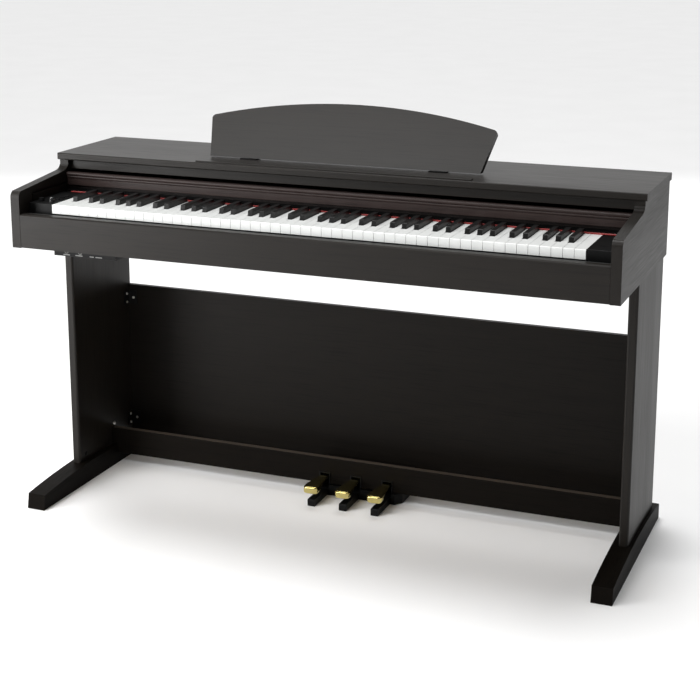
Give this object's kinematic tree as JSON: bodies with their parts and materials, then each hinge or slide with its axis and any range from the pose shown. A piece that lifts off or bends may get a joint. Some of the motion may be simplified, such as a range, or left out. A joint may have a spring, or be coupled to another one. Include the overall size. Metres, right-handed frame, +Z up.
{
  "type": "digital piano",
  "caption": "Console digital piano on a two-leg stand with a full keyboard, sliding key cover, folding music stand, modesty panel and brass pedals.",
  "frame": {"origin": "centre of the bounding box on the floor plane", "axes": "+Z up, the player sits on the -Y side, bass keys at -X, treble keys at +X"},
  "size_m": [1.394, 0.512, 0.9479],
  "materials": {
    "rosewood_laminate": "satin open-grain dark rosewood laminate",
    "cover_laminate": "satin reddish brown laminate",
    "chipboard": "raw chipboard",
    "white_key": "gloss white",
    "black_key": "matte black",
    "black_plastic": "fine textured black",
    "button_black": "satin black",
    "grey_plastic": "matte grey",
    "red_felt": "felt",
    "sheet_steel": "plain",
    "zinc_steel": "zinc plated",
    "nickel": "nickel plated",
    "circuit_board": "green solder mask",
    "speaker_black": "paper and steel",
    "brass": "polished"
  },
  "bodies": {
    "cabinet": {"lid_top": "rosewood_laminate", "lid_fascia": "rosewood_laminate", "cheek_left": "rosewood_laminate", "cheek_right": "rosewood_laminate", "key_slip": "rosewood_laminate", "keybed": "chipboard", "upper_back": "rosewood_laminate", "key_lip": "grey_plastic", "name_strip": "cover_laminate", "felt_strip": "red_felt", "rear_rail": "black_plastic", "block_left": "black_plastic", "block_right": "black_plastic", "key_chassis": "sheet_steel", "main_board": "circuit_board", "speakers": "speaker_black", "jack_box": "black_plastic", "sockets": "nickel", "leg_left": "rosewood_laminate", "leg_right": "rosewood_laminate", "foot_left": "rosewood_laminate", "foot_right": "rosewood_laminate", "modesty_panel": "rosewood_laminate", "bottom_rail": "rosewood_laminate", "pedal_box": "black_plastic", "pedal_trim": "black_plastic", "brackets": "zinc_steel", "stand_hinges": "black_plastic"},
    "cover": {"key_cover": "cover_laminate"},
    "desk": {"music_stand": "rosewood_laminate"},
    "power": {"power_button": "button_black"},
    "volume": {"volume_knob": "button_black"},
    "tones": {"tone_buttons": "button_black"},
    "left_pedal": {"pedal_left": "brass"},
    "middle_pedal": {"pedal_middle": "brass"},
    "right_pedal": {"pedal_right": "brass"},
    "white_group_1": {"whites_1": "white_key"},
    "black_group_1": {"blacks_1": "black_key"},
    "white_group_2": {"whites_2": "white_key"},
    "black_group_2": {"blacks_2": "black_key"},
    "white_group_3": {"whites_3": "white_key"},
    "black_group_3": {"blacks_3": "black_key"},
    "white_group_5": {"whites_5": "white_key"},
    "black_group_5": {"blacks_5": "black_key"},
    "white_group_6": {"whites_6": "white_key"},
    "black_group_6": {"blacks_6": "black_key"},
    "white_group_7": {"whites_7": "white_key"},
    "black_group_7": {"blacks_7": "black_key"},
    "body_key_c4": {"key_c4": "white_key"},
    "body_key_d4": {"key_d4": "white_key"},
    "body_key_e4": {"key_e4": "white_key"},
    "body_key_f4": {"key_f4": "white_key"},
    "body_key_g4": {"key_g4": "white_key"},
    "body_key_a4": {"key_a4": "white_key"},
    "body_key_b4": {"key_b4": "white_key"},
    "body_key_cs4": {"key_cs4": "black_key"},
    "body_key_ds4": {"key_ds4": "black_key"},
    "body_key_fs4": {"key_fs4": "black_key"},
    "body_key_gs4": {"key_gs4": "black_key"},
    "body_key_as4": {"key_as4": "black_key"}
  },
  "joints": [
    {"name": "cover_slide", "type": "slide", "parent": "cabinet", "child": "cover", "axis": [0, -1, 0], "range_m": [0, 0.165]},
    {"name": "desk_fold", "type": "hinge", "parent": "cabinet", "child": "desk", "pos_m": [-0.008, 0.04511, 0.824], "axis": [-1, 0, 0], "range_deg": [0, 55]},
    {"name": "power_press", "type": "slide", "parent": "cabinet", "child": "power", "axis": [0, 0, -1], "range_m": [0, 0.0018], "stiffness_N_per_m": 400, "springref_m": -0.002},
    {"name": "volume_turn", "type": "hinge", "parent": "cabinet", "child": "volume", "pos_m": [-0.6255, -0.193, 0.7335], "axis": [0, 0, 1], "range_deg": [-150, 150]},
    {"name": "tone_press", "type": "slide", "parent": "cabinet", "child": "tones", "axis": [0, 0, -1], "range_m": [0, 0.0015], "stiffness_N_per_m": 500, "springref_m": -0.002},
    {"name": "left_pedal_press", "type": "hinge", "parent": "cabinet", "child": "left_pedal", "pos_m": [-0.08, 0.176, 0.0465], "axis": [1, 0, 0], "range_deg": [0, 4.5], "stiffness_Nm_per_rad": 22, "springref_deg": -5.16},
    {"name": "middle_pedal_press", "type": "hinge", "parent": "cabinet", "child": "middle_pedal", "pos_m": [0, 0.176, 0.0465], "axis": [1, 0, 0], "range_deg": [0, 4.5], "stiffness_Nm_per_rad": 22, "springref_deg": -5.16},
    {"name": "right_pedal_press", "type": "hinge", "parent": "cabinet", "child": "right_pedal", "pos_m": [0.08, 0.176, 0.0465], "axis": [1, 0, 0], "range_deg": [0, 4.5], "stiffness_Nm_per_rad": 22, "springref_deg": -5.16},
    {"name": "whites_1_dip", "type": "hinge", "parent": "cabinet", "child": "white_group_1", "pos_m": [0.002, 0.044, 0.7195], "axis": [1, 0, 0], "range_deg": [0, 2.2], "stiffness_Nm_per_rad": 27, "springref_deg": -5.73},
    {"name": "blacks_1_dip", "type": "hinge", "parent": "cabinet", "child": "black_group_1", "pos_m": [0.002, 0.044, 0.7195], "axis": [1, 0, 0], "range_deg": [0, 2.2], "stiffness_Nm_per_rad": 9.6, "springref_deg": -5.73},
    {"name": "whites_2_dip", "type": "hinge", "parent": "cabinet", "child": "white_group_2", "pos_m": [0.002, 0.044, 0.7195], "axis": [1, 0, 0], "range_deg": [0, 2.2], "stiffness_Nm_per_rad": 21, "springref_deg": -5.73},
    {"name": "blacks_2_dip", "type": "hinge", "parent": "cabinet", "child": "black_group_2", "pos_m": [0.002, 0.044, 0.7195], "axis": [1, 0, 0], "range_deg": [0, 2.2], "stiffness_Nm_per_rad": 8, "springref_deg": -5.73},
    {"name": "whites_3_dip", "type": "hinge", "parent": "cabinet", "child": "white_group_3", "pos_m": [0.002, 0.044, 0.7195], "axis": [1, 0, 0], "range_deg": [0, 2.2], "stiffness_Nm_per_rad": 21, "springref_deg": -5.73},
    {"name": "blacks_3_dip", "type": "hinge", "parent": "cabinet", "child": "black_group_3", "pos_m": [0.002, 0.044, 0.7195], "axis": [1, 0, 0], "range_deg": [0, 2.2], "stiffness_Nm_per_rad": 8, "springref_deg": -5.73},
    {"name": "whites_5_dip", "type": "hinge", "parent": "cabinet", "child": "white_group_5", "pos_m": [0.002, 0.044, 0.7195], "axis": [1, 0, 0], "range_deg": [0, 2.2], "stiffness_Nm_per_rad": 21, "springref_deg": -5.73},
    {"name": "blacks_5_dip", "type": "hinge", "parent": "cabinet", "child": "black_group_5", "pos_m": [0.002, 0.044, 0.7195], "axis": [1, 0, 0], "range_deg": [0, 2.2], "stiffness_Nm_per_rad": 8, "springref_deg": -5.73},
    {"name": "whites_6_dip", "type": "hinge", "parent": "cabinet", "child": "white_group_6", "pos_m": [0.002, 0.044, 0.7195], "axis": [1, 0, 0], "range_deg": [0, 2.2], "stiffness_Nm_per_rad": 21, "springref_deg": -5.73},
    {"name": "blacks_6_dip", "type": "hinge", "parent": "cabinet", "child": "black_group_6", "pos_m": [0.002, 0.044, 0.7195], "axis": [1, 0, 0], "range_deg": [0, 2.2], "stiffness_Nm_per_rad": 8, "springref_deg": -5.73},
    {"name": "whites_7_dip", "type": "hinge", "parent": "cabinet", "child": "white_group_7", "pos_m": [0.002, 0.044, 0.7195], "axis": [1, 0, 0], "range_deg": [0, 2.2], "stiffness_Nm_per_rad": 24, "springref_deg": -5.73},
    {"name": "blacks_7_dip", "type": "hinge", "parent": "cabinet", "child": "black_group_7", "pos_m": [0.002, 0.044, 0.7195], "axis": [1, 0, 0], "range_deg": [0, 2.2], "stiffness_Nm_per_rad": 8, "springref_deg": -5.73},
    {"name": "c4_dip", "type": "hinge", "parent": "cabinet", "child": "body_key_c4", "pos_m": [0.002, 0.044, 0.7195], "axis": [1, 0, 0], "range_deg": [0, 2.2], "stiffness_Nm_per_rad": 3, "springref_deg": -5.73},
    {"name": "d4_dip", "type": "hinge", "parent": "cabinet", "child": "body_key_d4", "pos_m": [0.002, 0.044, 0.7195], "axis": [1, 0, 0], "range_deg": [0, 2.2], "stiffness_Nm_per_rad": 3, "springref_deg": -5.73},
    {"name": "e4_dip", "type": "hinge", "parent": "cabinet", "child": "body_key_e4", "pos_m": [0.002, 0.044, 0.7195], "axis": [1, 0, 0], "range_deg": [0, 2.2], "stiffness_Nm_per_rad": 3, "springref_deg": -5.73},
    {"name": "f4_dip", "type": "hinge", "parent": "cabinet", "child": "body_key_f4", "pos_m": [0.002, 0.044, 0.7195], "axis": [1, 0, 0], "range_deg": [0, 2.2], "stiffness_Nm_per_rad": 3, "springref_deg": -5.73},
    {"name": "g4_dip", "type": "hinge", "parent": "cabinet", "child": "body_key_g4", "pos_m": [0.002, 0.044, 0.7195], "axis": [1, 0, 0], "range_deg": [0, 2.2], "stiffness_Nm_per_rad": 3, "springref_deg": -5.73},
    {"name": "a4_dip", "type": "hinge", "parent": "cabinet", "child": "body_key_a4", "pos_m": [0.002, 0.044, 0.7195], "axis": [1, 0, 0], "range_deg": [0, 2.2], "stiffness_Nm_per_rad": 3, "springref_deg": -5.73},
    {"name": "b4_dip", "type": "hinge", "parent": "cabinet", "child": "body_key_b4", "pos_m": [0.002, 0.044, 0.7195], "axis": [1, 0, 0], "range_deg": [0, 2.2], "stiffness_Nm_per_rad": 3, "springref_deg": -5.73},
    {"name": "cs4_dip", "type": "hinge", "parent": "cabinet", "child": "body_key_cs4", "pos_m": [0.002, 0.044, 0.7195], "axis": [1, 0, 0], "range_deg": [0, 2.2], "stiffness_Nm_per_rad": 1.6, "springref_deg": -5.73},
    {"name": "ds4_dip", "type": "hinge", "parent": "cabinet", "child": "body_key_ds4", "pos_m": [0.002, 0.044, 0.7195], "axis": [1, 0, 0], "range_deg": [0, 2.2], "stiffness_Nm_per_rad": 1.6, "springref_deg": -5.73},
    {"name": "fs4_dip", "type": "hinge", "parent": "cabinet", "child": "body_key_fs4", "pos_m": [0.002, 0.044, 0.7195], "axis": [1, 0, 0], "range_deg": [0, 2.2], "stiffness_Nm_per_rad": 1.6, "springref_deg": -5.73},
    {"name": "gs4_dip", "type": "hinge", "parent": "cabinet", "child": "body_key_gs4", "pos_m": [0.002, 0.044, 0.7195], "axis": [1, 0, 0], "range_deg": [0, 2.2], "stiffness_Nm_per_rad": 1.6, "springref_deg": -5.73},
    {"name": "as4_dip", "type": "hinge", "parent": "cabinet", "child": "body_key_as4", "pos_m": [0.002, 0.044, 0.7195], "axis": [1, 0, 0], "range_deg": [0, 2.2], "stiffness_Nm_per_rad": 1.6, "springref_deg": -5.73}
  ]
}
